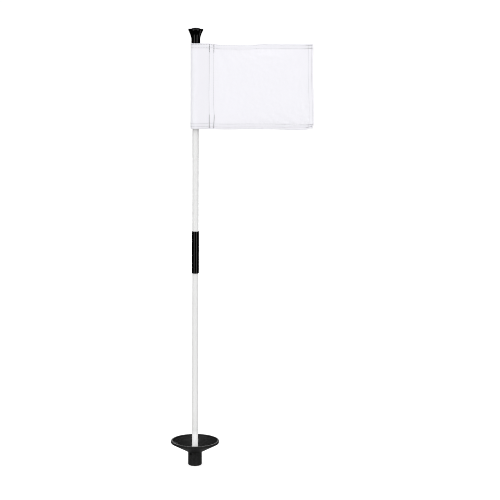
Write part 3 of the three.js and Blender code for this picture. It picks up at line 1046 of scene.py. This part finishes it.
def stitch_rows(cloth):
    """Every row of stitches: whether it runs up the cloth, its place, its start and end, its
    depth, how far it is sewn over again from its start and its end, and its drift if it has one."""
    low, high, length = FLAG_LOW.z, FLAG_HIGH.z, cloth.length
    edge = 1.2 * MM
    front, single, double = CLOTH / 2, -PLY - CLOTH / 2, -3 * PLY - CLOTH / 2
    panel_start, fly_hem = cloth.s_at(SEAM_END) + edge, length - FLY_HEM
    rows = []
    for which, x in enumerate(SEAM_ROWS):
        for in_front, side in ((True, 1), (False, -1)):
            place = cloth.s_at(x, in_front)
            rows.append((True, place, low + edge, high - edge, front, SEAM_BACKTACKS, (which, side)))
    for place in [low + row for row in FOOT_ROWS] + [high - row for row in HEAD_ROWS]:
        rows.append((False, place, edge, length - edge, front, (0, FLY_BACKTACK)))
        rows.append((False, place, panel_start, fly_hem - edge, single, (0, 0)))
        rows.append((False, place, fly_hem, length - edge, double, (0, 0)))
    for fly in [length - row for row in FLY_ROWS]:
        rows.append((True, fly, low + edge, high - edge, front, (0, 0)))
        rows.append((True, fly, low + FOOT_HEM + edge, high - HEAD_HEM - edge, single, (0, 0)))
        rows.append((True, fly, low + edge, low + FOOT_HEM, double, (0, 0)))
        rows.append((True, fly, high - HEAD_HEM, high - edge, double, (0, 0)))
    return rows


def make_stitching(cloth, material):
    """Every lock stitch on both faces of the cloth, as a short bent length of thread."""
    upward_rows, places, middles, depths = [], [], [], []
    for goes_up, place, start, end, depth, (first, last), *drift in stitch_rows(cloth):
        count = round((end - start) / STITCH)
        row = start + (np.arange(count) + 0.5) * (end - start) / count
        backed = row[(row < start + first) | (row > end - last)]
        passes = [(row, 0.0)]
        passes += [(backed + rng.uniform(-0.4, 0.4) * STITCH, aside) for aside in BACKTACK_ASIDE]
        for run, aside in passes:
            run = np.clip(run, start + STITCH / 2, end - STITCH / 2)
            middles.append(run)
            wander = rng.normal(0, 0.04 * MM, len(run))
            for which, side in drift:
                wander = wander + side * seam_drift(which, run)
            places.append(place + aside + wander)
            upward_rows.append(np.full(len(run), goes_up))
            depths.append(np.full(len(run), depth))
    upward_rows, places = np.concatenate(upward_rows)[:, None], np.concatenate(places)[:, None]
    middles, depths = np.concatenate(middles)[:, None], np.concatenate(depths)[:, None]

    # Each stitch is a slightly slanted arc that dives into the cloth at both ends.
    reach, slant = 0.44 * STITCH, 0.07 * MM
    share = np.linspace(-1, 1, 6)
    lift = (1 - share**2) ** 0.35
    run = middles + share * reach
    place = places + share * slant
    s, z = np.where(upward_rows, place, run), np.where(upward_rows, run, place)
    point, along, upward, normal = cloth.read(s, z)
    outward = np.sign(depths)
    press = PRESS_DEPTH * outward
    height = depths - press + outward * THREAD_RADIUS * (1.3 * lift - 0.75)
    centre = point + normal * height[..., None]
    across = np.where(upward_rows[..., None], along, upward)
    radius = THREAD_RADIUS * (0.5 + 0.5 * lift)

    sides = 5
    turn = np.arange(sides) * FULL_TURN / sides
    ring = np.cos(turn)[:, None] * across[:, :, None] + np.sin(turn)[:, None] * normal[:, :, None]
    points = centre[:, :, None] + ring * radius[:, None, None]
    count, rings = points.shape[:2]
    index = np.arange(count * rings * sides).reshape(count, rings, sides)
    turned_on = np.roll(index, -1, 2)
    quads = [index[:, :-1], turned_on[:, :-1], turned_on[:, 1:], index[:, 1:]]
    faces = np.stack(quads, 3).reshape(-1, 4).tolist()
    faces += index[:, 0, ::-1].tolist() + index[:, -1].tolist()
    threads = mesh_object("flag_stitching", points.reshape(-1, 3), faces)
    return finished(threads, "flag", "flag_nylon", material)


# ---------------------------------------- studio


def make_floor():
    """A white floor that glows a little, so that it reads as an endless white sweep."""
    size = 6.0
    corners = [(-size, -size, 0), (size, -size, 0), (size, size, 0), (-size, size, 0)]
    floor = mesh_object("studio_floor", corners, [(0, 1, 2, 3)])
    material = bpy.data.materials.new("studio_white")
    material.use_nodes = True
    tree = material.node_tree
    feed(tree, tree.nodes["Principled BSDF"], {
        "Base Color": grey(0.3),
        "Roughness": 0.9,
        "Specular IOR Level": 0.0,
        "Emission Color": grey(1.0),
        "Emission Strength": FLOOR_GLOW,
    })
    floor.data.materials.append(material)
    floor.visible_glossy = False
    floor.visible_diffuse = False


def make_sky():
    """White to the camera, a soft fill that brightens upwards on the object, and black in its
    reflections."""
    world = bpy.data.worlds.new("studio")
    world.use_nodes = True
    world.cycles.sampling_method = "NONE"
    tree = world.node_tree
    path = node(tree, "LightPath")
    height = node(tree, "SeparateXYZ", {0: node(tree, "TexCoord").outputs["Generated"]}).outputs["Z"]
    above = maths(tree, "MULTIPLY", maths(tree, "MAXIMUM", height, 0.0), FILL_ZENITH)
    dome = maths(tree, "ADD", above, FILL_HORIZON)
    fill = maths(tree, "MULTIPLY", path.outputs["Is Diffuse Ray"], dome)
    backdrop = maths(tree, "MULTIPLY", path.outputs["Is Camera Ray"], 1.05)
    strength = maths(tree, "ADD", backdrop, fill)
    feed(tree, tree.nodes["Background"], {"Color": grey(1.0), "Strength": strength})
    bpy.context.scene.world = world


def make_softbox(name, place, aim, width, height, radiance):
    """A rectangular area light that the camera doesn't see. Returns its object."""
    light = bpy.data.lights.new(name, "AREA")
    light.shape = "RECTANGLE"
    light.size, light.size_y = width, height
    light.energy = math.pi * width * height * radiance
    box = bpy.data.objects.new(name, light)
    box.location = place
    box.rotation_euler = (Vector(aim) - Vector(place)).to_track_quat("-Z", "Y").to_euler()
    box.visible_camera = False
    bpy.context.scene.collection.objects.link(box)
    return box


def make_lights():
    """Two tall softboxes that draw the streaks, a broad key from above the camera that leaves
    no reflection, one light overhead, a strip behind for the back, and the floor's bounce."""
    middle = 0.5
    for name, side in (("softbox_left", -1), ("softbox_right", 1)):
        swing = math.radians(FRONT_SWING) * side
        place = (FRONT_REACH * math.sin(swing), -FRONT_REACH * math.cos(swing), middle)
        make_softbox(name, place, (0, 0, middle), 0.55, 1.9, FRONT_RADIANCE)
    key = make_softbox("key", (-0.25, -3.2, 1.3), (0, 0, middle), 1.2, 1.2, KEY_RADIANCE)
    key.visible_glossy = False
    make_softbox("softbox_top", (0, -0.3, 3.0), (0, 0, 0), 1.6, 1.6, TOP_RADIANCE)
    make_softbox("strip_back", (0, 2.4, 0.43), (0, 0, middle), 0.9, 0.85, BACK_RADIANCE)
    make_softbox("floor_bounce", (0, 0, 0.002), (0, 0, 1), 0.4, 0.4, BOUNCE_RADIANCE)


def make_camera():
    """A long lens from just above the flag, pitched down so that the dish's floor shows."""
    data = bpy.data.cameras.new("camera")
    data.lens = LENS
    data.sensor_width = 36.0
    camera = bpy.data.objects.new("camera", data)
    camera.location = CAMERA_PLACE
    pitch = Matrix.Rotation(math.radians(90 - CAMERA_DOWN), 3, "X")
    roll = Matrix.Rotation(math.radians(CAMERA_ROLL), 3, "Z")
    camera.rotation_euler = (pitch @ roll).to_euler()
    bpy.context.scene.collection.objects.link(camera)
    bpy.context.scene.camera = camera


# ---------------------------------------- the build

make_camera()
make_lights()
make_sky()
make_floor()
bpy.context.scene.view_settings.view_transform = "Standard"
bpy.context.scene.cycles.filter_width = 1.0

rod_material = fibreglass()
gloss = black_gloss("polished_black_plastic")
steel = machined("zinc_plated_steel", (0.56, 0.57, 0.58, 1), (0.36, 0.36, 0.37, 1), 0.3)

make_dish(dish_plastic())
make_grub_screw(machined("black_oxide_steel", grey(0.05), grey(0.02), 0.42))
make_rod("lower_rod_shaft", "lower_rod", "lower_section", rod_material)
make_rod("upper_rod_shaft", "upper_rod", "upper_section", rod_material, True)
make_ferrule(gloss)
make_insert(machined("turned_brass", (0.72, 0.5, 0.22, 1), (0.5, 0.33, 0.14, 1), 0.3))
make_tube(moulded("white_tube_plastic", grey(0.78), 1.2 * MM, 0.4))
make_bushings(moulded("natural_nylon", (0.76, 0.74, 0.68, 1), 0.8 * MM, 0.42))
make_knob(gloss)
make_cap(gloss)
make_bolt(steel)
make_washer(steel)

flag_surface = Cloth()
flag_sheet, flat_size = make_flag(flag_surface, flag_nylon())
stitching = make_stitching(flag_surface, sewing_thread())
